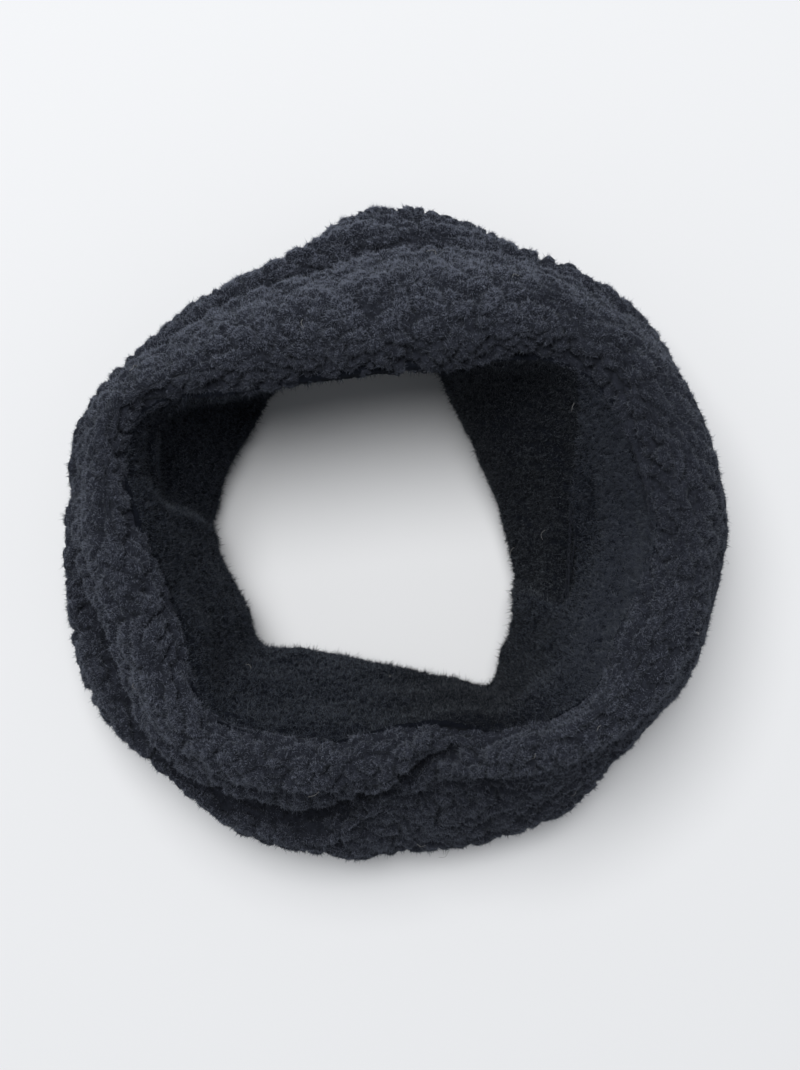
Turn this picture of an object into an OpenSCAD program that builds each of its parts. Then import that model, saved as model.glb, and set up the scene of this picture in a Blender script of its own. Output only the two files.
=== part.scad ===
// Neck gaiter: a tube of curly fleece with a smooth fleece lining, standing slouched on one end.
// Millimetres. +Z is up, +Y points to the back seam, and the origin is on the floor under the ring's middle.

/* [Size] */
// Width of the standing ring, left to right
ring_w = 227; // [195:1:260]
// Depth of the standing ring, back to front
ring_d = 233; // [200:1:265]
// Height of the ring's highest fold
ring_h = 107; // [92:1:126]

/* [Fabric] */
// Thickness of the curly outer fleece, pile and backing together
shell_t = 5; // [3:0.5:6]
// Thickness of the smooth fleece lining
lining_t = 3; // [2:0.5:4]
// Thickness of the sewing thread
thread_d = 1; // [0.6:0.1:1.4]

/* [Folds] */
// Depth of the long crease that winds around the ring
crease_depth = 11; // [0:1:12]
// Length of the hand-closed stretch of the bottom seam
closing_len = 60; // [30:5:90]

/* [Hidden] */

// Radii of the four rings that shape the tube, at sixteen compass bearings clockwise from the back (+Y).
low_r    = [116, 112, 111, 111, 110, 112, 113, 115, 116, 117, 115, 118, 117, 115, 110, 110];
ridge_r  = [ 94, 100, 105, 108, 109, 108, 104,  94,  86,  98, 105, 105, 108, 108,  99,  92];
lip_r    = [ 50,  56,  72,  79,  81,  79,  78,  68,  62,  68,  78,  78,  80,  84,  66,  54];
throat_r = [ 78,  54,  41,  38,  38,  44,  57,  60,  50,  48,  55,  60,  64,  64,  68,  78];

// Width and depth of the ring that those radii draw, and how far the middle of its bearings lies from
// the middle of its width.
drawn_w = 227;
drawn_d = 233;
middle_x = 3;

// Heights of those rings, and of the crest's two shoulders, above the floor.
low_z = 0.267 * ring_h;
ridge_z = 0.74 * ring_h;
outer_crest_z = 0.946 * ring_h;
inner_crest_z = 1.002 * ring_h;
lip_z = 0.915 * ring_h;
tuck_z = 0.679 * ring_h;
tuck_lift = 0.134 * ring_h;
throat_z = 0.226 * ring_h;
middle_z = 0.463 * ring_h;

// Where points between two rings lie, as shares of the way from one to the other.
foot_share = 0.45;
lining_foot_share = 0.12;
outer_crest_share = 0.22;
inner_crest_share = 0.66;
tuck_share = 0.35;
tuck_overhang = 0.5;

// How far the bottom edge lies inside the low ring, and the radius at which the bottom seam lies.
foot_inset = 10;
foot_r = 88;

// The cross-section runs through ten points, and v counts them: 0 at the bottom seam, then over the
// outside and the crest to the top seam at 6, and down the lining back to the bottom seam at 10.
v_top_seam = 6;
v_end = 10;
v_step = 0.05;

bearing_steps = 72;
shell_steps = 26;
lining_steps = 14;
seam_gap = 1;
thread_clear = 0.9;
thread_sides = 6;
crease_low_v = 2.55;
crease_rise_v = 4.1;
crease_reach = 0.65;
crossing_bearing = 148;
crossing_fade = 0.92;
crossing_reach = 0.3;
back_seam_bearing = 5;
lining_seam_bearing = 50;
lining_seam_lean = 14;
lining_seam_steps = 28;
closing_bearing = 250;
closing_turn = closing_len / foot_r * 180 / PI;
closing_steps = 8;

shell_colour = [0.13, 0.13, 0.15];
lining_colour = [0.08, 0.08, 0.10];
thread_colour = [0.20, 0.20, 0.22];

function mix(a, b, t) = a + (b - a) * t;

// 0 before t = 0, 1 after t = 1, and smooth between.
function ease(t) = let (s = min(1, max(0, t))) s * s * (3 - 2 * s);

// 1 at the centre, falling smoothly to 0 at the given reach on either side.
function bump(x, centre, reach) = ease(1 - abs(x - centre) / reach);

function bearing_between(a, b) = abs(((a - b) % 360 + 540) % 360 - 180);

function sector(bearing, centre, reach) = ease(1 - bearing_between(bearing, centre) / reach);

// Smooth curve through b and c, with a and d on either side.
function between(a, b, c, d, t) =
    b + 0.5 * t * ((c - a) + t * ((2 * a - 5 * b + 4 * c - d) + t * (3 * b - a - 3 * c + d)));

function closed_curve(points, at) =
    let (
        n = len(points),
        i = floor(at) + n,
        t = at - floor(at)
    )
    between(points[(i - 1) % n], points[i % n], points[(i + 1) % n], points[(i + 2) % n], t);

function radius_at(ring, bearing) = closed_curve(ring, bearing / 360 * len(ring));

// The ten points [radius, height] of the cross-section at a bearing.
function section(bearing) =
    let (
        low = radius_at(low_r, bearing),
        ridge = radius_at(ridge_r, bearing),
        lip = radius_at(lip_r, bearing),
        throat = radius_at(throat_r, bearing),
        overhang = sector(bearing, 350, 60),
        inner_roll = sector(bearing, 140, 45),
        foot = mix(throat, low, foot_share)
    )
    [
        [foot, 0],
        [low - foot_inset, 0],
        [low, low_z],
        [ridge, ridge_z],
        [mix(ridge, lip, outer_crest_share), outer_crest_z],
        [mix(ridge, lip, inner_crest_share), inner_crest_z],
        [lip, lip_z],
        [mix(lip, throat, tuck_share + tuck_overhang * overhang), tuck_z + tuck_lift * inner_roll],
        [throat, throat_z],
        [mix(throat, low, lining_foot_share), 0]
    ];

// Where the long crease lies on the cross-section: low on the outside nearly all the way round, then
// over the crest at the front right and into the lining.
function crease_v(bearing) =
    crease_low_v + crease_rise_v * ease((192 - bearing) / 75) * ease((bearing - 40) / 40);

// The crease starts and ends on the right, and is nearly flat where it passes over the crest.
function crease_strength(bearing) =
    max(ease((bearing - 80) / 35), ease((50 - bearing) / 30))
    * (1 - crossing_fade * sector(bearing, crossing_bearing, 40));

function crease_in(bearing, v) =
    let (reach = crease_reach + crossing_reach * sector(bearing, crossing_bearing, 50))
    crease_depth * crease_strength(bearing) * bump(v, crease_v(bearing), reach);

function unit(a) = a / norm(a);

// A point of the folded skin. The crease moves it towards the middle of the cross-section.
function skin_point(rings, bearing, v) =
    let (
        smooth = closed_curve(rings, v),
        middle = [(rings[2][0] + rings[8][0]) / 2, middle_z],
        folded = smooth + unit(middle - smooth) * crease_in(bearing, v)
    )
    [
        (folded[0] * sin(bearing) + middle_x) * ring_w / drawn_w,
        folded[0] * cos(bearing) * ring_d / drawn_d,
        max(0, folded[1])
    ];

// The point at a depth behind the skin, kept above the given floor height.
function sunk_point(bearing, v, depth, floor_z) =
    let (
        rings = section(bearing),
        rings_next = section(bearing + 1),
        point = skin_point(rings, bearing, v),
        around = skin_point(rings_next, bearing + 1, v) - point,
        along = skin_point(rings, bearing, v + v_step) - skin_point(rings, bearing, v - v_step),
        sunk = point - unit(cross(along, around)) * depth
    )
    [sunk[0], sunk[1], max(floor_z, sunk[2])];

// How far v moves for a distance along the cross-section.
function v_over(bearing, v, distance) =
    let (rings = section(bearing))
    2 * v_step * distance / norm(closed_curve(rings, v + v_step) - closed_curve(rings, v - v_step));

// One row of points across the skin at a bearing, from just after one seam to just before the next.
function skin_row(bearing, v_from, v_to, steps, depth, floor_z) =
    let (
        first = v_from + v_over(bearing, v_from, seam_gap),
        last = v_to - v_over(bearing, v_to, seam_gap)
    )
    [for (k = [0 : steps]) sunk_point(bearing, mix(first, last, k / steps), depth, floor_z)];

function joined(lists) = [for (list = lists) for (item = list) item];

function two_triangles(a, b, c, d) = [[a, b, c], [a, c, d]];

// A closed tube wall between an outer and an inner grid of points, open at both ends of the tube.
module fabric_tube(v_from, v_to, steps, thickness, floor_z) {
    loop = 2 * (steps + 1);
    loops = [
        for (i = [0 : bearing_steps - 1])
            let (
                bearing = i * 360 / bearing_steps,
                face = skin_row(bearing, v_from, v_to, steps, 0, floor_z),
                back = skin_row(bearing, v_from, v_to, steps, thickness, floor_z + thickness)
            )
            concat(face, [for (k = [steps : -1 : 0]) back[k]])
    ];
    walls = [
        for (i = [0 : bearing_steps - 1])
            for (k = [0 : loop - 1])
                let (
                    j = (i + 1) % bearing_steps,
                    m = (k + 1) % loop
                )
                two_triangles(i * loop + k, i * loop + m, j * loop + m, j * loop + k)
    ];
    polyhedron(joined(loops), joined(walls), convexity = 8);
}

// A thread along a list of points, as one solid with closed ends, or a ring with none.
module thread(points, is_ring) {
    n = len(points);
    rings = [
        for (i = [0 : n - 1])
            let (
                before = is_ring ? points[(i + n - 1) % n] : points[max(0, i - 1)],
                after = is_ring ? points[(i + 1) % n] : points[min(n - 1, i + 1)],
                forward = unit(after - before),
                side = unit(cross(forward, [0.1, 0.1, 1])),
                up = cross(side, forward)
            )
            [
                for (s = [0 : thread_sides - 1])
                    let (turn = s * 360 / thread_sides)
                    points[i] + (side * cos(turn) + up * sin(turn)) * thread_d / 2
            ]
    ];
    walls = [
        for (i = [0 : (is_ring ? n - 1 : n - 2)])
            for (s = [0 : thread_sides - 1])
                let (
                    j = (i + 1) % n,
                    t = (s + 1) % thread_sides
                )
                two_triangles(
                    i * thread_sides + s,
                    j * thread_sides + s,
                    j * thread_sides + t,
                    i * thread_sides + t
                )
    ];
    ends = is_ring ? [] : [
        [for (s = [0 : thread_sides - 1]) s],
        [for (s = [thread_sides - 1 : -1 : 0]) (n - 1) * thread_sides + s]
    ];
    polyhedron(joined(rings), concat(joined(walls), ends), convexity = 4);
}

module outer_shell()
    color(shell_colour)
        fabric_tube(0, v_top_seam, shell_steps, shell_t, 0);

module lining()
    color(lining_colour)
        fabric_tube(v_top_seam, v_end, lining_steps, lining_t, 0);

// The vertical seam of the shell, on its hidden side.
module back_seam_thread() {
    depth = shell_t + thread_d / 2 + thread_clear;
    row = skin_row(back_seam_bearing, 0, v_top_seam, shell_steps, depth, depth);
    color(thread_colour) thread([for (k = [2 : shell_steps - 2]) row[k]], false);
}

// The vertical seam of the lining, which leans around the tube on its way down.
module lining_seam_thread() {
    depth = lining_t + thread_d / 2 + thread_clear;
    points = [
        for (k = [1 : lining_seam_steps - 1])
            let (down = k / lining_seam_steps * (v_end - v_top_seam))
            sunk_point(lining_seam_bearing + lining_seam_lean * down, v_top_seam + down, depth, depth)
    ];
    color(thread_colour) thread(points, false);
}

function edge_seam(first, last, steps, v) = [
    for (i = [0 : steps]) sunk_point(mix(first, last, i / steps), v, lining_t / 2, 0)
];

// The seam that joins shell and lining along the top edge.
module top_seam_thread()
    color(thread_colour)
        thread(edge_seam(0, 360 - 360 / bearing_steps, bearing_steps - 1, v_top_seam), true);

// The seam that joins them along the bottom edge, machine sewn except for the turning gap.
module bottom_seam_thread() {
    gap_end = closing_bearing + closing_turn / 2 + 1;
    gap_start = closing_bearing - closing_turn / 2 - 1 + 360;
    color(thread_colour)
        thread(edge_seam(gap_end, gap_start, bearing_steps, v_end), false);
}

// The turning gap, closed by hand after the tube was turned right side out.
module closing_stitches() {
    first = closing_bearing - closing_turn / 2;
    color(thread_colour)
        thread(edge_seam(first, first + closing_turn, closing_steps, v_end), false);
}

outer_shell();
lining();
back_seam_thread();
lining_seam_thread();
top_seam_thread();
bottom_seam_thread();
closing_stitches();
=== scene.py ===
"""Neck gaiter: a soft tube of curly fleece with a smooth fleece lining, standing slouched on one end.

Metres, except that the cross-section is worked out in millimetres. +Z is up and +Y points to the shell's back
seam. Bearings are compass degrees, clockwise from +Y. The skin is one closed loop of fabric: it starts at the
bottom seam, runs up the outside and over the crest to the top seam, and goes down inside to the bottom seam
again. A place on that loop is v, which counts the ten points of the cross-section.
"""

import math

import bpy
import numpy as np
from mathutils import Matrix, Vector

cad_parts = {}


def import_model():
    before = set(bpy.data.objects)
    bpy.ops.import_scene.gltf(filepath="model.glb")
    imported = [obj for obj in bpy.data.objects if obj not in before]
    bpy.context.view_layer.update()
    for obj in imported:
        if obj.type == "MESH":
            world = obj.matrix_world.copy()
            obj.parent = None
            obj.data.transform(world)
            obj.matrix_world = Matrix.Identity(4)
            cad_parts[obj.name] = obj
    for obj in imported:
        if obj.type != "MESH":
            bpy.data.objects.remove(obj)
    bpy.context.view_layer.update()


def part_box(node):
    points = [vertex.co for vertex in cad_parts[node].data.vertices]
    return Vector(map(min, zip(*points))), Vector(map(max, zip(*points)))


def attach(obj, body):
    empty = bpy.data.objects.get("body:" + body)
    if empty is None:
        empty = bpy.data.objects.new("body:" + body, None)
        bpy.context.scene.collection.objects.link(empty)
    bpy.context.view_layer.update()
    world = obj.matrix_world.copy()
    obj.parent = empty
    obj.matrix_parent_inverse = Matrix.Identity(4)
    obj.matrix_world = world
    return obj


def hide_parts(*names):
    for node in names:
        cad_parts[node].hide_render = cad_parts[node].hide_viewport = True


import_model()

MM = 0.001
SHELL_LOW, SHELL_HIGH = (np.array(corner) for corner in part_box("outer_shell"))
RING_WIDTH, RING_DEPTH, RING_HEIGHT = SHELL_HIGH - SHELL_LOW

# ---------------------------------------------------------------- shape of the slouched tube

# Radii in millimetres, at sixteen even bearings, for a ring of the nominal size. These four tables were not
# chosen by hand: another program fitted them to outlines traced in the photograph. Most of LOW_RADII and a few
# of the others were changed after that. A circle per outline, with named bulges, would be better.
NOMINAL_WIDTH = 227.4
NOMINAL_DEPTH = 233.2
NOMINAL_HEIGHT = 107.3
LOW_RADII = [115, 110, 117, 113, 118, 117, 113, 116, 117, 123, 123, 126, 118, 118, 111, 110]
RIDGE_RADII = [91, 98, 104, 108, 108, 106, 101, 90, 85, 96, 104, 101, 106, 108, 95, 89]
LIP_RADII = [51, 57, 75, 80, 82, 78, 78, 68, 62, 72, 83, 76, 81, 91, 63, 53]
THROAT_RADII = [76, 51, 40, 38, 38, 46, 57, 57, 51, 49, 58, 62, 67, 65, 66, 76]

# How far the middle of those radii lies to the right of the origin.
MIDDLE_X = 3 * MM

# Corners that are sharper than sixteen radii give, as (bearing, reach in degrees, extra millimetres).
LOW_CORNERS = [(150, 13, 5), (286, 12, 4)]
THROAT_CORNERS = [(149, 12, 8), (231, 12, 5)]

# Heights above the floor, as shares of the ring's height.
LOW_Z = 0.27
RIDGE_Z = 0.72
OUTER_CREST_Z = 0.91
INNER_CREST_Z = 0.96
LIP_Z = 0.88
TUCK_Z = 0.66
THROAT_Z = 0.22

# Folds move the skin towards this height in the middle of the wall and, with more weight, square to the skin.
MIDDLE_Z = 0.45
SQUARE_WEIGHT = 1.5

# Where the other points of the cross-section lie, as shares of the way between two of the four radii.
SEAM_FOOT_SHARE = 0.45
LINING_FOOT_SHARE = 0.12
OUTER_CREST_SHARE = 0.22
INNER_CREST_SHARE = 0.66
TUCK_SHARE = 0.35
FOOT_INSET = 9

# Stretches of the ring, as (bearing, reach in degrees), and what changes there.
OVERHANG = (350, 60)
OVERHANG_TUCK = 0.5
INNER_ROLL = (140, 45)
INNER_ROLL_LIFT = 0.13

# Places on the loop.
V_LOW = 2
V_TOP_SEAM = 6
V_THROAT = 8
V_END = 10

# Seams.
BACK_SEAM_BEARING = 4
LINING_SEAM_BEARING = 49
SEAM_LEAN = 64
SEAM_LEAN_POWER = 0.22
SEAM_BEND_DEPTH = 1.33
SEAM_LOW_LEAN = 8
CLOSING_BEARING = 250
CLOSING_TURN = 40
SEAM_END_ROWS = 5

# The long crease. Pairs are a bearing and the degrees over which something fades in or out.
CREASE_LOW_V = 2.62
CREASE_RISE_V = 3.83
CREASE_INSIDE_FROM = (55, 30)
CREASE_INSIDE_UNTIL = (196, 58)
CREASE_UNTIL = (58, 30)
CREASE_FROM = (78, 30)
CROSSING_FROM = (78, 20)
CROSSING_UNTIL = (176, 26)
FRONT_LEFT = (225, 70)
CREASE_DEPTH = 16
CROSSING_DEPTH = 3
FRONT_LEFT_DEPTH = 4
CREASE_WIDTH = 6.5
ROLL_HEIGHT = 2.0
CROSSING_ROLL_HEIGHT = 0.8
FRONT_LEFT_ROLL_HEIGHT = 2
ROLL_REACH = 14
DROP_STRETCH = (230, 68)
DROP_DEPTH = 12
DROP_PLACE = -3
DROP_REACH = 12

# The ripple low on the back, in millimetres along the fabric from its own line.
RIPPLE_STRETCH = (8, 34)
RIPPLE_V = 2.2
RIPPLE_DEPTH = 6.0
RIPPLE_REACH = 7
RIPPLE_ROLL_HEIGHT = 3.5
RIPPLE_ROLL_PLACE = -12
RIPPLE_ROLL_REACH = 13

# Folds of the lining: depth in millimetres, where each lies on the loop as (v, reach), and its edge.
SEAM_FOLD_DEPTH = 3.0
SEAM_FOLD_V = (6.9, 0.8)
SEAM_FOLD_FROM = (20, 20)
ROLL_FOLD_DEPTH = 5.0
ROLL_FOLD_V = (7.7, 1.1)
ROLL_FOLD_FROM = (60, 30)
ROLL_FOLD_EDGE = 115
FOLD_EDGE_TURN = 5
POCKET_DEPTH = 8.0
POCKET_V = (7.4, 1.3)
POCKET_EDGE = 284
POCKET_LEAN = 6
POCKET_EDGE_TURN = 4
POCKET_UNTIL = (335, 30)
STRIPE_HEIGHT = 4.0
STRIPE_V = (6.95, 0.8)
STRIPE_BEARING = 302
STRIPE_TOP_V = 6.4
STRIPE_LEAN = 28
STRIPE_TURN = 6

# The shell's back seam: its width in degrees, how far it pulls the fabric in, and how far down it shows.
BACK_SEAM_WIDTH = 1.6
BACK_SEAM_PULL = 1.2 * MM
BACK_SEAM_LIP_PULL = 3.0 * MM
BACK_SEAM_LIP_REACH = 7 * MM
BACK_SEAM_UNTIL = (90 * MM, 20 * MM)

# The shallow valley just outside the lip at the front right.
VALLEY_STRETCH = (132, 30)
VALLEY_FROM_LIP = 19 * MM
VALLEY_WIDTH = 4 * MM
VALLEY_DEPTH = 2.5 * MM

# How far the lining's edge tucks in under the lip, and where it tucks in deeper.
LIP_TUCK = 0.3 * MM
DEEP_LIP_TUCK = 1.6 * MM
DEEP_TUCKS = [(240, 90), (135, 45)]

# How far shell and lining each run past the top seam, on the loop.
SHELL_OVERLAP_V = 0.03
LINING_OVERLAP_V = 0.05

# Gentle unevenness of the fabric, as (length, height, seed).
SHELL_WAVES = (45 * MM, 1.6 * MM, 15)
LINING_WAVES = (30 * MM, 1.2 * MM, 25)

# ---------------------------------------------------------------- fabric, pile, thread and detail

SHELL_THICKNESS = 2.0 * MM
LINING_THICKNESS = 1.6 * MM
PILE_HEIGHT = 4.5 * MM
LINING_PILE_HEIGHT = 1.8 * MM
EDGE_REACH = 4 * MM
BEARINGS = 780
SHELL_ROWS = 226
LINING_BEARINGS = 560
LINING_ROWS = 150
BACK_ROWS = 24
SECTION_SAMPLES = 601
SHELL_SMOOTHING = 10
LINING_SMOOTHING = 3
BACK_SMOOTHING = 6
EDGE_PILE = 0.35

# Noise, and the two layers of nubs on each fabric, as (share, noise blocks around the tube, wave, seed).
BLOCK_CELLS = 96
BLOCK_CELLS_PER_WAVE = 6
BAND_WIDTH = 0.28
CREVICE_WIDTH = 0.6
SHELL_NUBS = [(0.62, 3, 8.5 * MM, 11), (0.38, 6, 5.0 * MM, 12)]
LINING_NUBS = [(0.6, 5, 5.0 * MM, 21), (0.4, 11, 2.4 * MM, 22)]

# Where the shell's pile is brushed flatter: the stretch, how far from the lip, and by how much.
BACK_LIMB_STRETCH = (0, 60)
BACK_LIMB_FROM_LIP = (52 * MM, 26 * MM)
BACK_LIMB_BRUSHED = 0.4
FRONT_BAND_STRETCH = (136, 26)
FRONT_BAND_UNTIL = (17 * MM, 6 * MM)
FRONT_BAND_BRUSHED = 0.8
BRUSHED_HEIGHT = 0.8

# Fibres. Headings are (lean, wave, seed) and growths (shortest mm, longest mm, wave, seed).
FUZZ_PER_PIECE = 49000
FIBRE_THICKNESS = 0.23 * MM
FIBRE_ROUGHNESS = 0.8
FIBRE_SCATTER = 0.3
ROOT_DEPTH = 0.4 * MM
STRAY_LENGTH = 0.9
STRAY_POWER = 9
SHELL_HEADING = (0.38, 2.4 * MM, 61)
LINING_HEADING = (0.35, 2.0 * MM, 71)
SHELL_GROWTH = (0.5, 1.5, 2.8 * MM, 65)
LINING_GROWTH = (0.6, 2.3, 3.2 * MM, 75)
SEED_STEP = 20
SHELL_FUZZ_SEED = 31
LINING_FUZZ_SEED = 91
GROWTH_VARIATION = 0.35
HOLLOW_GROWTH = 0.7
DARKEST_TONE = 0.75
LIGHTEST_TONE = 1.25

# Where each kind of fibre grows: stretches of the ring, lengths from the lip, and how strongly.
# Painted shade: fewer crown fibres along the crease at the front left, so that the dark base shows there.
SHADED_CREASE_STRETCH = (235, 75)
SHADED_CREASE_V_REACH = 0.24
SHADED_CREASE_SHARE = 0.85
# Painted light: paler fibres on the back, which faces the window, and on two stretches at the front.
BACK_LIGHT_STRETCH = (352, 85)
BACK_LIGHT_SHARE = 1.15
BACK_LIGHT_FROM_LIP = (10.4 * MM, 26 * MM)
FRONT_LIGHT_STRETCHES = [(235, 85), (130, 35)]
FRONT_LIGHT_SHARE = 0.4
MOST_HOLLOW_SHARE = 1.1
LEAST_LINING_SHARE = 0.3
SHADED_PANEL_FROM = (15, 10)
SHADED_PANEL_EDGE_TURN = 1.5
FRONT_PANEL_STRETCH = (155, 50)
# Painted light: paler lining fibres near the lip on the right.
LIT_LIP_STRETCH = (95, 60)
LIT_LIP_UNTIL = (36.8 * MM, 32 * MM)

# Thread, and the stray lint caught in the pile.
THREAD_THICKNESS = 0.5 * MM
THREAD_STEPS = 6
LINT_THICKNESS = 0.12 * MM
LINT_STEPS = 9
LINT_EDGE_ROWS = 10
LINT_BEND = 0.2
LINT_ARCH = 0.25
LINT_CLEARANCE = 1.2 * MM

# The camera looks straight down. Its lens is matched to how large the ring is in the photograph.
CAMERA_PLACE = (0.0037, -0.0014, 0.65)
SENSOR_HEIGHT = 24
LENS_LENGTH = 38.557


def ease(t):
    """0 before t = 0, 1 after t = 1, and smooth between."""
    s = np.clip(t, 0, 1)
    return s * s * (3 - 2 * s)


def bump(x, centre, reach):
    """1 at the centre, falling smoothly to 0 at the given reach on either side."""
    return ease(1 - np.abs(x - centre) / reach)


def sector(bearing, centre, reach):
    """1 at the centre bearing, falling smoothly to 0 at the given turn on either side."""
    apart = np.abs((bearing - centre + 180) % 360 - 180)
    return ease(1 - apart / reach)


def after(x, first, fade):
    """0 up to the first bearing or length, and then rising smoothly to 1 over the fade."""
    return ease((x - first) / fade)


def before(x, last, fade):
    """0 from the last bearing or length on, and falling smoothly to it from 1 over the fade before it."""
    return ease((last - x) / fade)


def past_edge(distance, width):
    """0 before an edge and 1 past it, with a smooth change as wide as given."""
    return ease(distance / width + 0.5)


def mix(a, b, t):
    """From a at t = 0 to b at t = 1."""
    return a + (b - a) * t


def unit(vectors):
    """The vectors at length 1."""
    return vectors / np.maximum(np.linalg.norm(vectors, axis=-1, keepdims=True), 1e-12)


def closed_curve(points, at):
    """Smooth closed curve through the points (the first axis), at places that count them."""
    points = np.asarray(points, float)
    n = len(points)
    i = np.floor(at).astype(int)
    t = (at - i).reshape((-1,) + (1,) * (points.ndim - 1))
    a, b, c, d = (points[(i + k) % n] for k in (-1, 0, 1, 2))
    return b + 0.5 * t * ((c - a) + t * ((2 * a - 5 * b + 4 * c - d) + t * (3 * b - a - 3 * c + d)))


def radius_at(radii, bearing, corners=()):
    """The radius at each bearing: a smooth outline with local corners."""
    radius = closed_curve(radii, bearing / 360 * len(radii))
    for corner_bearing, reach, extra in corners:
        radius = radius + extra * sector(bearing, corner_bearing, reach)
    return radius


def section(bearing):
    """The ten points (radius, height) of the smooth cross-section at each bearing, in millimetres."""
    low = radius_at(LOW_RADII, bearing, LOW_CORNERS)
    ridge = radius_at(RIDGE_RADII, bearing)
    lip = radius_at(LIP_RADII, bearing)
    throat = radius_at(THROAT_RADII, bearing, THROAT_CORNERS)
    h = NOMINAL_HEIGHT
    flat = np.zeros_like(bearing)
    tuck_share = TUCK_SHARE + OVERHANG_TUCK * sector(bearing, *OVERHANG)
    tuck_z = TUCK_Z + INNER_ROLL_LIFT * sector(bearing, *INNER_ROLL)
    points = [
        (mix(throat, low, SEAM_FOOT_SHARE), flat),
        (low - FOOT_INSET, flat),
        (low, flat + LOW_Z * h),
        (ridge, flat + RIDGE_Z * h),
        (mix(ridge, lip, OUTER_CREST_SHARE), flat + OUTER_CREST_Z * h),
        (mix(ridge, lip, INNER_CREST_SHARE), flat + INNER_CREST_Z * h),
        (lip, flat + LIP_Z * h),
        (mix(lip, throat, tuck_share), tuck_z * h),
        (throat, flat + THROAT_Z * h),
        (mix(throat, low, LINING_FOOT_SHARE), flat),
    ]
    return np.array([np.stack(p, axis=-1) for p in points])


def crease_v(bearing):
    """Where the long crease lies: low on the outside, then over the crest at the front right and inside."""
    inside = before(bearing, *CREASE_INSIDE_UNTIL) * after(bearing, *CREASE_INSIDE_FROM)
    return CREASE_LOW_V + CREASE_RISE_V * inside


def crease_strength(bearing):
    """How much of the crease there is: none for a short stretch at the right, towards the back."""
    return np.maximum(after(bearing, *CREASE_FROM), before(bearing, *CREASE_UNTIL))


def length_along(points):
    """Distance from the first point along each column of points."""
    steps = np.linalg.norm(np.diff(points, axis=0), axis=-1)
    return np.concatenate([np.zeros((1,) + steps.shape[1:]), np.cumsum(steps, axis=0)])


def place_on(lengths, v, at_v):
    """The length at which each column reaches its own v."""
    return np.array([np.interp(at_v[k], v, lengths[:, k]) for k in range(lengths.shape[1])])


def lining_seam_bearing(v):
    """The lining's seam starts straight down from the top seam and then leans around the ring."""
    down = v - V_TOP_SEAM
    lean = 1 - np.clip(1 - down / SEAM_BEND_DEPTH, 0, 1) ** SEAM_LEAN_POWER
    return LINING_SEAM_BEARING + SEAM_LEAN * lean + SEAM_LOW_LEAN * np.maximum(0, down - SEAM_BEND_DEPTH)


def crease_shift(bearing, v, lengths):
    """The long crease, with a roll of fabric on each side of it."""
    from_crease = lengths - place_on(lengths, v, crease_v(bearing))
    strength = crease_strength(bearing)
    crossing = before(bearing, *CROSSING_UNTIL) * after(bearing, *CROSSING_FROM)
    front_left = sector(bearing, *FRONT_LEFT)
    depth = mix(CREASE_DEPTH, CROSSING_DEPTH, crossing) + FRONT_LEFT_DEPTH * front_left
    slot = depth * np.exp(-((from_crease / (CREASE_WIDTH + front_left)) ** 2))
    roll_height = mix(ROLL_HEIGHT, CROSSING_ROLL_HEIGHT, crossing) + FRONT_LEFT_ROLL_HEIGHT * front_left
    rolls = bump(from_crease, -ROLL_REACH, ROLL_REACH) + bump(from_crease, ROLL_REACH, ROLL_REACH)
    return strength * (slot - roll_height * rolls)


def crease_drop(bearing, v, lengths):
    """How far the fabric just below the crease sinks at the front left, where the lower roll curls over."""
    from_crease = lengths - place_on(lengths, v, crease_v(bearing))
    return DROP_DEPTH * sector(bearing, *DROP_STRETCH) * bump(from_crease, DROP_PLACE, DROP_REACH)


def ripple_shift(bearing, v, lengths):
    """The extra ripple low on the back, with a roll of fabric below it."""
    from_ripple = lengths - place_on(lengths, v, 0 * bearing + RIPPLE_V)
    groove = RIPPLE_DEPTH * bump(from_ripple, 0, RIPPLE_REACH)
    roll = RIPPLE_ROLL_HEIGHT * bump(from_ripple, RIPPLE_ROLL_PLACE, RIPPLE_ROLL_REACH)
    return sector(bearing, *RIPPLE_STRETCH) * (groove - roll)


def lining_shift(bearing, v):
    """Folds of the lining: it lies deeper past three soft edges, and one narrow stripe stands out."""
    v = v[:, None]
    seam_side = past_edge(lining_seam_bearing(v) - bearing, FOLD_EDGE_TURN) * after(bearing, *SEAM_FOLD_FROM)
    past_seam = SEAM_FOLD_DEPTH * seam_side * bump(v, *SEAM_FOLD_V)
    roll_side = past_edge(ROLL_FOLD_EDGE - bearing, FOLD_EDGE_TURN)
    past_roll = ROLL_FOLD_DEPTH * roll_side * after(bearing, *ROLL_FOLD_FROM) * bump(v, *ROLL_FOLD_V)
    pocket_edge = POCKET_EDGE - POCKET_LEAN * (v - V_TOP_SEAM)
    pocket_side = past_edge(bearing - pocket_edge, POCKET_EDGE_TURN)
    pocket = POCKET_DEPTH * pocket_side * before(bearing, *POCKET_UNTIL) * bump(v, *POCKET_V)
    stripe_line = STRIPE_BEARING - STRIPE_LEAN * (v - STRIPE_TOP_V)
    stripe = STRIPE_HEIGHT * bump(bearing, stripe_line, STRIPE_TURN) * bump(v, *STRIPE_V)
    return (past_seam + past_roll + pocket - stripe) * (v > V_TOP_SEAM)


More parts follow.
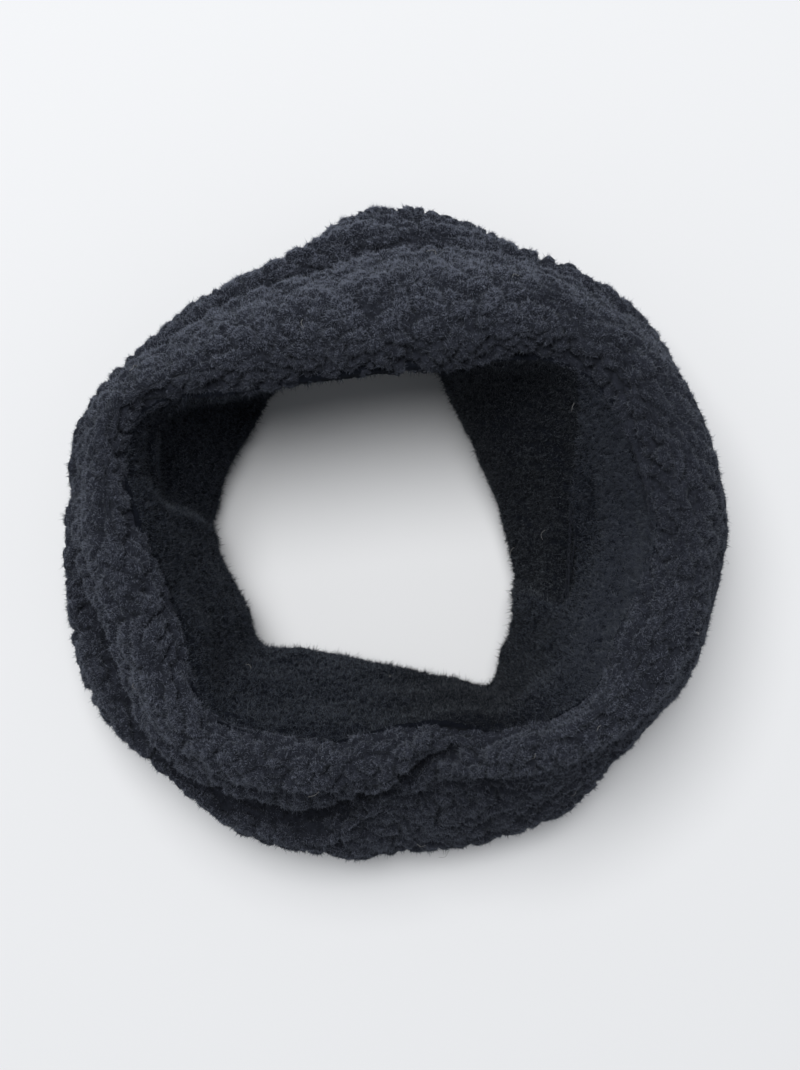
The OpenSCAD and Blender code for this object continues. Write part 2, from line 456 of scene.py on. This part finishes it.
def folded_section(bearing):
    """The cross-sections with their folds, finely sampled, as (v, points in millimetres)."""
    v = np.linspace(0, V_END, SECTION_SAMPLES)
    rings = section(bearing)
    smooth = closed_curve(rings, v)
    lengths = length_along(smooth)
    middle_radius = (rings[V_LOW, :, 0] + rings[V_THROAT, :, 0]) / 2
    middle = np.stack([middle_radius, 0 * bearing + MIDDLE_Z * NOMINAL_HEIGHT], axis=-1)
    tangent = unit(np.gradient(smooth, axis=0))
    behind = np.stack([-tangent[..., 1], tangent[..., 0]], axis=-1)
    inwards = unit(unit(middle - smooth) + SQUARE_WEIGHT * behind)
    shift = crease_shift(bearing, v, lengths) + ripple_shift(bearing, v, lengths) + lining_shift(bearing, v)
    folded = smooth + inwards * shift[..., None]
    folded[..., 1] -= crease_drop(bearing, v, lengths)
    return v, folded


def noise_block(seed):
    """A repeating block of random heights whose bumps are all of about one size."""
    rng = np.random.default_rng(seed)
    heights = np.fft.rfftn(rng.standard_normal((BLOCK_CELLS,) * 3))
    full = np.fft.fftfreq(BLOCK_CELLS)
    half = np.fft.rfftfreq(BLOCK_CELLS)
    frequency = np.sqrt(full[:, None, None] ** 2 + full[None, :, None] ** 2 + half[None, None, :] ** 2)
    heights *= np.exp(-(((frequency * BLOCK_CELLS_PER_WAVE - 1) / BAND_WIDTH) ** 2))
    block = np.fft.irfftn(heights, s=(BLOCK_CELLS,) * 3)
    return block / block.std()


def noise_at(points, wave, seed):
    """Random heights, about -2 to 2, at places in space, with bumps half a wave wide."""
    block = noise_block(seed)
    at = points / wave * BLOCK_CELLS_PER_WAVE
    low = np.floor(at).astype(int)
    part = at - low
    total = np.zeros(points.shape[:-1])
    for corner in np.ndindex(2, 2, 2):
        share = np.prod(np.where(corner, part, 1 - part), axis=-1)
        i, j, k = ((low[..., axis] + corner[axis]) % BLOCK_CELLS for axis in range(3))
        total += share * block[i, j, k]
    return total


def to_space(points, bearing):
    """Points (radius, height) in millimetres, at each bearing, as places in the frame."""
    turn = np.radians(bearing)
    radius = points[..., 0] * MM
    x = (radius * np.sin(turn) + MIDDLE_X) * RING_WIDTH / (NOMINAL_WIDTH * MM)
    y = radius * np.cos(turn) * RING_DEPTH / (NOMINAL_DEPTH * MM)
    z = points[..., 1] * MM * RING_HEIGHT / (NOMINAL_HEIGHT * MM)
    return np.stack([x, y, z], axis=-1)


def skin_grid(rows, columns, v_from, v_to):
    """Even rows of points on the folded skin, one column per bearing, and the v of each point."""
    bearing = bearings_of(columns)
    v, points = folded_section(bearing)
    lengths = length_along(points)
    grid = np.zeros((rows, columns, 2))
    v_grid = np.zeros((rows, columns))
    for k in range(columns):
        first, last = np.interp([v_from, v_to], v, lengths[:, k])
        at = np.linspace(first, last, rows)
        v_grid[:, k] = np.interp(at, lengths[:, k], v)
        for axis in range(2):
            grid[:, k, axis] = np.interp(at, lengths[:, k], points[:, k, axis])
    return to_space(grid, bearing[None, :]), v_grid


def bearings_of(columns):
    """The bearing of each column of a grid."""
    return np.arange(columns) * 360 / columns


def grid_normals(grid):
    """Unit normals that point out of the fabric, for a grid that closes around its columns."""
    down = np.gradient(grid, axis=0)
    around = np.roll(grid, -1, axis=1) - np.roll(grid, 1, axis=1)
    normals = np.cross(down, around)
    return unit(normals)


def smoothed(grid, rounds):
    """The grid with each point moved to the mean of itself and its neighbours; the edges stay."""
    for _ in range(rounds):
        around = (np.roll(grid, 1, axis=1) + np.roll(grid, -1, axis=1) + 2 * grid) / 4
        inner = (around[:-2] + around[2:] + 2 * around[1:-1]) / 4
        grid = np.concatenate([around[:1], inner, around[-1:]])
    return grid


def new_mesh(name, vertices, faces):
    """A smooth-shaded mesh object from vertex and equal-sided face arrays, riding on the one body."""
    mesh = bpy.data.meshes.new(name)
    count, sides = faces.shape
    mesh.vertices.add(len(vertices))
    mesh.vertices.foreach_set("co", np.asarray(vertices, np.float32).ravel())
    mesh.loops.add(count * sides)
    mesh.loops.foreach_set("vertex_index", faces.astype(np.int32).ravel())
    mesh.polygons.add(count)
    mesh.polygons.foreach_set("loop_start", np.arange(count, dtype=np.int32) * sides)
    mesh.polygons.foreach_set("use_smooth", np.ones(count, bool))
    mesh.update(calc_edges=True)
    mesh.validate()
    piece = bpy.data.objects.new(name, mesh)
    bpy.context.scene.collection.objects.link(piece)
    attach(piece, "root")
    return piece


def tube_wall(name, face, back):
    """A closed wall between a face grid and a back grid with the same columns."""
    columns = face.shape[1]
    rows = np.concatenate([face, back[::-1]])
    count = len(rows)
    i = np.arange(count)[:, None]
    j = np.arange(columns)[None, :]
    i_next = (i + 1) % count
    j_next = (j + 1) % columns
    faces = np.stack(
        [i * columns + j, i_next * columns + j, i_next * columns + j_next, i * columns + j_next], axis=-1
    )
    return new_mesh(name, rows.reshape(-1, 3), faces.reshape(-1, 4))


def places_around(grid, tiles, wave):
    """Each point as (way around, radius, height), scaled so that whole noise blocks fit around the tube."""
    rows, columns = grid.shape[:2]
    block = BLOCK_CELLS / BLOCK_CELLS_PER_WAVE * wave
    around = np.broadcast_to(np.arange(columns) / columns * tiles * block, (rows, columns))
    return np.stack([around, np.hypot(grid[..., 0], grid[..., 1]), grid[..., 2]], axis=-1)


def nubs(grid, tiles, wave, seed):
    """Heights from 0 to 1 of soft nubs about half a wave wide, with crevices between them."""
    heights = noise_at(places_around(grid, tiles, wave), wave, seed)
    return 1 - np.exp(-((heights / CREVICE_WIDTH) ** 2))


def layered_nubs(grid, layers):
    """Large and small nubs together, from 0 to 1."""
    return sum(share * nubs(grid, tiles, wave, seed) for share, tiles, wave, seed in layers)


def on_floor(grid):
    """The grid, pressed flat where it would reach below the floor."""
    grid[..., 2] = np.maximum(grid[..., 2], SHELL_LOW[2])
    return grid


def back_of(grid, thickness):
    """Sparse rows behind the face, kept above the floor."""
    keep = np.linspace(0, len(grid) - 1, BACK_ROWS).round().astype(int)
    base = smoothed(grid, BACK_SMOOTHING)
    back = (base - grid_normals(base) * thickness)[keep]
    back[..., 2] = np.maximum(back[..., 2], SHELL_LOW[2] + thickness)
    return back


# ---------------------------------------------------------------- materials


def material(name, colour, roughness, sheen=0.0):
    """A matt material of one colour, and its shader."""
    made = bpy.data.materials.new(name)
    made.use_nodes = True
    shader = made.node_tree.nodes["Principled BSDF"]
    shader.inputs["Base Color"].default_value = (*colour, 1)
    shader.inputs["Roughness"].default_value = roughness
    shader.inputs["IOR"].default_value = 1.1  # nothing here has more than a trace of gloss
    shader.inputs["Specular IOR Level"].default_value = 0.2
    shader.inputs["Sheen Weight"].default_value = sheen
    shader.inputs["Sheen Roughness"].default_value = 0.5
    shader.inputs["Sheen Tint"].default_value = (0.78, 0.87, 1.0, 1)
    return made, shader


def fleece_material(name, dark, light, roughness, sheen, clump, bump_height):
    """Pile whose colour and roughness vary from clump to clump, with fine curls as bump."""
    made, shader = material(name, dark, roughness, sheen)
    nodes, links = made.node_tree.nodes, made.node_tree.links
    place = nodes.new("ShaderNodeTexCoord")
    curls = nodes.new("ShaderNodeTexNoise")
    curls.inputs["Scale"].default_value = 1 / clump
    curls.inputs["Detail"].default_value = 5
    curls.inputs["Roughness"].default_value = 0.65
    links.new(place.outputs["Object"], curls.inputs["Vector"])
    shades = nodes.new("ShaderNodeValToRGB")
    shades.color_ramp.elements[0].position = 0.3
    shades.color_ramp.elements[0].color = (*dark, 1)
    shades.color_ramp.elements[1].position = 0.72
    shades.color_ramp.elements[1].color = (*light, 1)
    links.new(curls.outputs["Fac"], shades.inputs["Fac"])
    links.new(shades.outputs["Color"], shader.inputs["Base Color"])
    rough = nodes.new("ShaderNodeMapRange")
    rough.inputs["To Min"].default_value = roughness
    rough.inputs["To Max"].default_value = min(1.0, roughness + 0.12)
    links.new(curls.outputs["Fac"], rough.inputs["Value"])
    links.new(rough.outputs["Result"], shader.inputs["Roughness"])
    relief = nodes.new("ShaderNodeBump")
    relief.inputs["Strength"].default_value = 0.9
    relief.inputs["Distance"].default_value = bump_height
    links.new(curls.outputs["Fac"], relief.inputs["Height"])
    links.new(relief.outputs["Normal"], shader.inputs["Normal"])
    return made


# ---------------------------------------------------------------- pieces


def piled(base, normals, height, pile, edges):
    """The pile's surface: nub heights from 0 to 1 below the base grid, flatter at the chosen edges."""
    from_edge = length_along(base)
    to_edge = from_edge[-1] - from_edge
    flat = np.ones(height.shape)
    if "first" in edges:
        flat *= mix(EDGE_PILE, 1, ease(from_edge / EDGE_REACH))
    if "last" in edges:
        flat *= mix(EDGE_PILE, 1, ease(to_edge / EDGE_REACH))
    return on_floor(base - normals * ((1.0 - height) * pile * flat)[..., None])


def seam_groove(places, line, width, depth):
    """How far the fabric is pulled in along a line across the places: a seam or a valley."""
    return depth * np.exp(-(((places - line) / width) ** 2))


def slow_waves(grid, wave, height, seed):
    """Gentle unevenness of the whole fabric."""
    return 0.5 * height * noise_at(grid, wave, seed)


def make_shell():
    """The curly shell: its piece, outer face, nub heights and the v of each point of the face."""
    skin, v_grid = skin_grid(SHELL_ROWS, BEARINGS, 0.0, V_TOP_SEAM + SHELL_OVERLAP_V)
    base = smoothed(skin, SHELL_SMOOTHING)
    normals = grid_normals(smoothed(base, BACK_SMOOTHING))
    bearing = bearings_of(BEARINGS)
    to_lip = length_along(base)[-1] - length_along(base)
    pull = BACK_SEAM_PULL + BACK_SEAM_LIP_PULL * ease(1 - to_lip / BACK_SEAM_LIP_REACH)
    back_seam = seam_groove(bearing, BACK_SEAM_BEARING, BACK_SEAM_WIDTH, pull)
    back_seam = back_seam * before(to_lip, *BACK_SEAM_UNTIL)
    valley = seam_groove(to_lip, VALLEY_FROM_LIP, VALLEY_WIDTH, VALLEY_DEPTH)
    valley = valley * sector(bearing, *VALLEY_STRETCH)
    base = base + normals * (slow_waves(base, *SHELL_WAVES) - back_seam - valley)[..., None]
    back_limb = sector(bearing, *BACK_LIMB_STRETCH) * bump(to_lip, *BACK_LIMB_FROM_LIP)
    front_band = sector(bearing, *FRONT_BAND_STRETCH) * before(to_lip, *FRONT_BAND_UNTIL)
    brushed = np.maximum(BACK_LIMB_BRUSHED * back_limb, FRONT_BAND_BRUSHED * front_band)
    height = mix(layered_nubs(base, SHELL_NUBS), BRUSHED_HEIGHT, brushed)
    face = piled(base, normals, height, PILE_HEIGHT, ("last",))
    piece = tube_wall("curly_shell", face, back_of(base, PILE_HEIGHT + SHELL_THICKNESS))
    return piece, face, height, v_grid


def make_lining():
    """The smooth lining: its piece, outer face, nub heights and the v of each point of the face."""
    skin, v_grid = skin_grid(LINING_ROWS, LINING_BEARINGS, V_TOP_SEAM - LINING_OVERLAP_V, V_END)
    base = smoothed(skin, LINING_SMOOTHING)
    normals = grid_normals(base)
    bearing = bearings_of(LINING_BEARINGS)
    from_lip = length_along(base)
    deeper = np.max([sector(bearing, *stretch) for stretch in DEEP_TUCKS], axis=0)
    tucked = mix(LIP_TUCK, DEEP_LIP_TUCK, deeper) * ease(1 - from_lip / (2 * EDGE_REACH))
    base = base + normals * (slow_waves(base, *LINING_WAVES) - tucked)[..., None]
    height = layered_nubs(base, LINING_NUBS)
    face = piled(base, normals, height, LINING_PILE_HEIGHT, ("first",))
    piece = tube_wall("smooth_lining", face, back_of(base, LINING_PILE_HEIGHT + LINING_THICKNESS))
    return piece, face, height, v_grid


def roots_on(face, share, count, rng):
    """Random places on a face grid, as dense as the share says, and the cell that each is in."""
    across = np.linalg.norm(np.roll(face, -1, axis=1) - face, axis=-1)[:-1]
    along = np.linalg.norm(np.diff(face, axis=0), axis=-1)
    area = (across * along * share[:-1]).ravel()
    cell = rng.choice(area.size, size=count, p=area / area.sum())
    columns = face.shape[1]
    i, j = cell // columns, cell % columns
    s, t = rng.random((2, count, 1))
    j_next = (j + 1) % columns
    places = mix(mix(face[i, j], face[i, j_next], t), mix(face[i + 1, j], face[i + 1, j_next], t), s)
    return places, (i, j)


def make_fuzz(name, face, share, heading, growth, seed):
    """Short pointed fibres that stand on a face grid, each a closed three-sided needle."""
    count = FUZZ_PER_PIECE
    rng = np.random.default_rng(seed)
    roots, cell = roots_on(face, share, count, rng)
    axis = unit(heading[cell] + FIBRE_SCATTER * rng.standard_normal((count, 3)))
    side = unit(np.cross(axis, rng.standard_normal((count, 3))))
    other = np.cross(axis, side)
    luck = rng.random((count, 1))
    lengths = growth[cell][:, None] * (0.5 + 0.5 * luck + STRAY_LENGTH * luck**STRAY_POWER)
    foot = roots - axis * ROOT_DEPTH
    corners = []
    for turn in (0, 2 * math.pi / 3, 4 * math.pi / 3):
        corners.append(foot + FIBRE_THICKNESS / 2 * (math.cos(turn) * side + math.sin(turn) * other))
    corners.append(roots + axis * lengths)
    vertices = np.stack(corners, axis=1)
    vertices[..., 2] = np.maximum(vertices[..., 2], SHELL_LOW[2])
    needle = np.array([(0, 1, 3), (1, 2, 3), (2, 0, 3), (2, 1, 0)])
    faces = 4 * np.arange(count)[:, None, None] + needle[None]
    return new_mesh(name, vertices.reshape(-1, 3), faces.reshape(-1, 3))


def fibre_heading(face, lean, wave, seed):
    """Which way the fibres point: out of the face, and leaning together within a tuft."""
    tufts = np.stack([noise_at(face, wave, seed + axis) for axis in range(3)], axis=-1)
    return unit(grid_normals(face) + lean * tufts)


def fibre_growth(face, shortest, longest, wave, seed):
    """How long the fibres grow, which varies from tuft to tuft."""
    return mix(shortest, longest, ease(0.5 + GROWTH_VARIATION * noise_at(face, wave, seed))) * MM


def shell_fibres(face, height, v):
    """Each kind of fibre on the shell: its pieces, share of the fibres, length, colour and sheen."""
    bearing = bearings_of(BEARINGS)
    to_lip = length_along(face)[-1] - length_along(face)
    growth = fibre_growth(face, *SHELL_GROWTH)
    # Painted shade: the crease at the front left loses most crown fibres and shows darker.
    shaded_crease_stretch = ease(3 * sector(bearing, *SHADED_CREASE_STRETCH))
    crease_shade = bump(v, crease_v(bearing), SHADED_CREASE_V_REACH) * shaded_crease_stretch
    on_crowns = height**2 * (1 - SHADED_CREASE_SHARE * crease_shade)
    # Pale fibres on the back and on two front stretches: painted light.
    back_light = sector(bearing, *BACK_LIGHT_STRETCH) * after(to_lip, *BACK_LIGHT_FROM_LIP)
    front_light = FRONT_LIGHT_SHARE * sum(sector(bearing, *stretch) for stretch in FRONT_LIGHT_STRETCHES)
    painted_light = np.maximum(BACK_LIGHT_SHARE * back_light, front_light)
    return {
        "crown_fuzz": (6, on_crowns * (1 - back_light), growth, (0.060, 0.066, 0.088), 0.2),
        "lit_pale_fuzz": (4, on_crowns * painted_light, growth, (0.118, 0.130, 0.172), 0.2),
        # Nearly black fibres in the hollows between nubs: painted shade.
        "hollow_shade_fuzz": (3, MOST_HOLLOW_SHARE - height, HOLLOW_GROWTH * growth, (0.006, 0.007, 0.010), 0.1),
    }


def lining_fibres(face, height, v):
    """Each kind of fibre on the lining: its pieces, share of the fibres, length, colour and sheen."""
    bearing = bearings_of(LINING_BEARINGS)[None, :]
    growth = fibre_growth(face, *LINING_GROWTH)
    everywhere = mix(LEAST_LINING_SHARE, 1, height)
    shaded_panel = past_edge(lining_seam_bearing(v) - bearing, SHADED_PANEL_EDGE_TURN)
    shaded_panel = shaded_panel * after(bearing, *SHADED_PANEL_FROM)
    front_panel = (1 - shaded_panel) * sector(bearing, *FRONT_PANEL_STRETCH)
    side_panels = 1 - shaded_panel - front_panel
    # Painted light: paler fibres on the lining near the lip at the right.
    near_lip = before(length_along(face), *LIT_LIP_UNTIL)
    lit_by_lip = (1 - shaded_panel) * near_lip * sector(bearing, *LIT_LIP_STRETCH)
    return {
        "lining_fuzz": (3, everywhere * side_panels, growth, (0.0195, 0.0234, 0.0345), 0.18),
        # Near-black fibres on the shaded panel and on the front panel: painted shade.
        "panel_fuzz": (1, everywhere * shaded_panel, growth, (0.0042, 0.005, 0.0075), 0.2),
        "front_fuzz": (1, everywhere * front_panel, growth, (0.0042, 0.005, 0.0075), 0.12),
        "lit_lip_fuzz": (1, everywhere * lit_by_lip, growth, (0.031, 0.0355, 0.049), 0.18),
    }


def grow_fibres(kinds, face, heading, first_seed):
    """All the fibre pieces on a face; within each kind the colour goes from dark to light."""
    grown = []
    for kind, (label, (pieces, share, growth, colour, sheen)) in enumerate(kinds.items()):
        for k in range(pieces):
            name = f"{label}_{k + 1}"
            tone = mix(DARKEST_TONE, LIGHTEST_TONE, (k + 0.5) / pieces)
            look, _ = material(name, [tone * part for part in colour], FIBRE_ROUGHNESS, sheen)
            fuzz = make_fuzz(name, face, share, heading, growth, SEED_STEP * kind + first_seed + k)
            fuzz.data.materials.append(look)
            grown.append(fuzz)
    return grown


# ---------------------------------------------------------------- seams and lint


def rods(name, paths, thickness, sides=6):
    """Thin round rods with pointed ends, one along each path of an array (rods, points, 3)."""
    count, steps = paths.shape[:2]
    tangent = unit(np.gradient(paths, axis=1))
    side = unit(np.cross(tangent, (0.31, 0.52, 0.79)))  # a direction that no path follows
    other = np.cross(tangent, side)
    turn = 2 * math.pi * np.arange(sides)[:, None] / sides
    rim = np.cos(turn) * side[:, :, None] + np.sin(turn) * other[:, :, None]
    rings = (paths[:, :, None] + thickness / 2 * rim).reshape(count, steps * sides, 3)
    first_tip = paths[:, 0] - tangent[:, 0] * thickness
    last_tip = paths[:, -1] + tangent[:, -1] * thickness
    faces = []
    start, end = steps * sides, steps * sides + 1
    for k in range(sides):
        k_next = (k + 1) % sides
        faces.append((start, k_next, k))
        faces.append((end, start - sides + k, start - sides + k_next))
        for row in range(0, start - sides, sides):
            faces.append((row + k, row + k_next, row + sides + k_next))
            faces.append((row + k, row + sides + k_next, row + sides + k))
    vertices = np.concatenate([rings, np.stack([first_tip, last_tip], axis=1)], axis=1)
    vertices[..., 2] = np.maximum(vertices[..., 2], SHELL_LOW[2])
    offsets = (steps * sides + 2) * np.arange(count)[:, None, None]
    return new_mesh(name, vertices.reshape(-1, 3), (offsets + np.array(faces)[None]).reshape(-1, 3))


def resampled(line, pitch, closed):
    """Points evenly spaced along a line, about one pitch apart."""
    if closed:
        line = np.concatenate([line, line[:1]])
    lengths = length_along(line[:, None])[:, 0]
    count = int(round(lengths[-1] / pitch)) + 1
    at = np.linspace(0, lengths[-1], count)
    return np.stack([np.interp(at, lengths, line[:, axis]) for axis in range(3)], axis=-1)


def seam_thread(name, look, line, outwards, zigzag, width, closed):
    """One thread that zigzags across a seam's line and lies on the fabric."""
    pitch = zigzag / THREAD_STEPS
    points = resampled(line, pitch, closed)
    away = unit(resampled(line + outwards * MM, pitch, closed)[: len(points)] - points)
    along = unit(np.gradient(points, axis=0))
    across = unit(np.cross(along, away))
    swing = np.sin(2 * math.pi * np.arange(len(points)) * pitch / zigzag)[:, None]
    path = points + across * swing * width / 2 + away * THREAD_THICKNESS * (1 - swing**2)
    piece = rods(name, path[None], THREAD_THICKNESS)
    piece.data.materials.append(look)
    return piece


def seam_lines(shell_face, lining_face, lining_v):
    """Each seam's line, the way out of the fabric, zigzag length and width, and whether the line closes."""
    shell_out = grid_normals(shell_face)
    lining_out = grid_normals(lining_face)
    gap_first, gap_last = (column_at(CLOSING_BEARING + side * CLOSING_TURN / 2) for side in (-1, 1))
    sewn = np.arange(gap_last, gap_first + BEARINGS) % BEARINGS
    gap = np.arange(gap_first, gap_last + 1)
    back = column_at(BACK_SEAM_BEARING)
    inner = slice(SEAM_END_ROWS, -SEAM_END_ROWS)
    rows = np.arange(LINING_ROWS)
    from_seam = np.abs(lining_seam_bearing(lining_v) - bearings_of(LINING_BEARINGS)[None, :])
    columns = np.argmin(from_seam, axis=1)
    lining_line = lining_face[rows, columns][inner]
    lining_line_out = lining_out[rows, columns][inner]
    return {
        "top_seam_thread": (shell_face[-1], shell_out[-1], 3.5 * MM, 1.6 * MM, True),
        "bottom_seam_thread": (shell_face[0, sewn], shell_out[0, sewn], 3.5 * MM, 1.6 * MM, False),
        "closing_stitches": (shell_face[0, gap], shell_out[0, gap], 6 * MM, 2.4 * MM, False),
        "back_seam_thread": (shell_face[inner, back], shell_out[inner, back], 3.5 * MM, 1.4 * MM, False),
        "lining_seam_thread": (lining_line, lining_line_out, 3.5 * MM, 1.4 * MM, False),
    }


def column_at(bearing):
    """The column of the shell's grid nearest to a bearing."""
    return int(round(bearing / 360 * BEARINGS))


def sew(lines):
    """One thread piece along each seam, standing for the CAD node of that name."""
    look, _ = material("thread", (0.012, 0.0135, 0.019), 0.7, 0.1)
    sewn_pieces = {}
    for name, seam in lines.items():
        sewn_pieces[name] = seam_thread(f"{name}_sewn", look, *seam)
        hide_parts(name)
    return sewn_pieces


def lint(name, face, count, length, seed):
    """Stray pale fibres, each lightly curled, caught in the pile."""
    rng = np.random.default_rng(seed)
    normals = grid_normals(face)
    i = rng.integers(LINT_EDGE_ROWS, face.shape[0] - LINT_EDGE_ROWS, count)
    j = rng.integers(0, face.shape[1], count)
    steps = np.linspace(0, 1, LINT_STEPS)[None, :, None]
    up = normals[i, j][:, None]
    heading = unit(np.cross(up[:, 0], rng.standard_normal((count, 3))))[:, None]
    curl = np.cross(up, heading)
    bend = rng.uniform(-LINT_BEND, LINT_BEND, (2, count, 1, 1))
    reach = length * rng.uniform(0.5, 1, (count, 1, 1))
    arch = np.sin(math.pi * steps)
    sideways = bend[0] * arch + bend[1] * np.sin(2 * math.pi * steps)
    rise = up * (LINT_CLEARANCE + LINT_ARCH * arch * reach)
    paths = face[i, j][:, None] + heading * steps * reach + curl * sideways * reach + rise
    return rods(name, paths, LINT_THICKNESS, 4)


# ---------------------------------------------------------------- floor, light and camera


def make_floor():
    """The pale sheet that the gaiter stands on."""
    mesh = bpy.data.meshes.new("floor")
    reach = 3.0
    corners = [(-reach, -reach, 0), (reach, -reach, 0), (reach, reach, 0), (-reach, reach, 0)]
    mesh.from_pydata(corners, [], [(0, 1, 2, 3)])
    floor = bpy.data.objects.new("floor", mesh)
    floor.location.z = SHELL_LOW[2]
    bpy.context.scene.collection.objects.link(floor)
    paper, shader = material("pale_paper", (0.82, 0.83, 0.85), 0.9)
    mesh.materials.append(paper)


def area_light(name, place, aim, size, power, colour):
    """A round soft light at a place, turned towards its aim."""
    light = bpy.data.lights.new(name, "AREA")
    light.shape = "DISK"
    light.size = size
    light.energy = power
    light.color = colour
    lamp = bpy.data.objects.new(name, light)
    lamp.location = place
    lamp.rotation_euler = (Vector(aim) - Vector(place)).to_track_quat("-Z", "Y").to_euler()
    bpy.context.scene.collection.objects.link(lamp)


def make_world(strength):
    """An even pale sky."""
    world = bpy.data.worlds.new("studio")
    world.use_nodes = True
    sky = world.node_tree.nodes["Background"]
    sky.inputs["Color"].default_value = (0.93, 0.96, 1.0, 1)
    sky.inputs["Strength"].default_value = strength
    bpy.context.scene.world = world


def make_camera():
    """Straight above the ring, at the distance from which its inside walls look as they should."""
    lens = bpy.data.cameras.new("camera")
    lens.sensor_fit = "VERTICAL"
    lens.sensor_height = SENSOR_HEIGHT
    lens.lens = LENS_LENGTH
    lens.clip_start = 0.01
    camera = bpy.data.objects.new("camera", lens)
    camera.location = CAMERA_PLACE
    bpy.context.scene.collection.objects.link(camera)
    bpy.context.scene.camera = camera


# ---------------------------------------------------------------- the whole

make_floor()
shell, shell_face, shell_height, shell_v = make_shell()
lining, lining_face, lining_height, lining_v = make_lining()
curly_fleece = fleece_material(
    "curly_fleece",
    dark=(0.009, 0.010, 0.014),
    light=(0.026, 0.029, 0.039),
    roughness=0.9,
    sheen=0.1,
    clump=0.002,
    bump_height=0.0005,
)
smooth_fleece = fleece_material(
    "smooth_fleece",
    dark=(0.003, 0.0036, 0.0054),
    light=(0.0075, 0.009, 0.0135),
    roughness=0.9,
    sheen=0.05,
    clump=0.0015,
    bump_height=0.0003,
)
shell.data.materials.append(curly_fleece)
lining.data.materials.append(smooth_fleece)
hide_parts("outer_shell")
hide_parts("lining")

shell_heading = fibre_heading(shell_face, *SHELL_HEADING)
lining_heading = fibre_heading(lining_face, *LINING_HEADING)
shell_kinds = shell_fibres(shell_face, shell_height, shell_v)
lining_kinds = lining_fibres(lining_face, lining_height, lining_v)
shell_fuzz = grow_fibres(shell_kinds, shell_face, shell_heading, SHELL_FUZZ_SEED)
lining_fuzz = grow_fibres(lining_kinds, lining_face, lining_heading, LINING_FUZZ_SEED)

sewn_pieces = sew(seam_lines(shell_face, lining_face, lining_v))
shell_lint = lint("shell_lint", shell_face, count=26, length=5 * MM, seed=91)
lining_lint = lint("lining_lint", lining_face, count=12, length=4 * MM, seed=92)
lint_look, _ = material("lint", (0.30, 0.30, 0.30), 0.7)
shell_lint.data.materials.append(lint_look)
lining_lint.data.materials.append(lint_look)

area_light("window", place=(-0.25, 0.62, 2.2), aim=(0, 0, 0), size=1.4, power=50, colour=(1.0, 0.995, 0.985))
make_world(strength=0.24)
make_camera()
bpy.context.scene.view_settings.view_transform = "Standard"
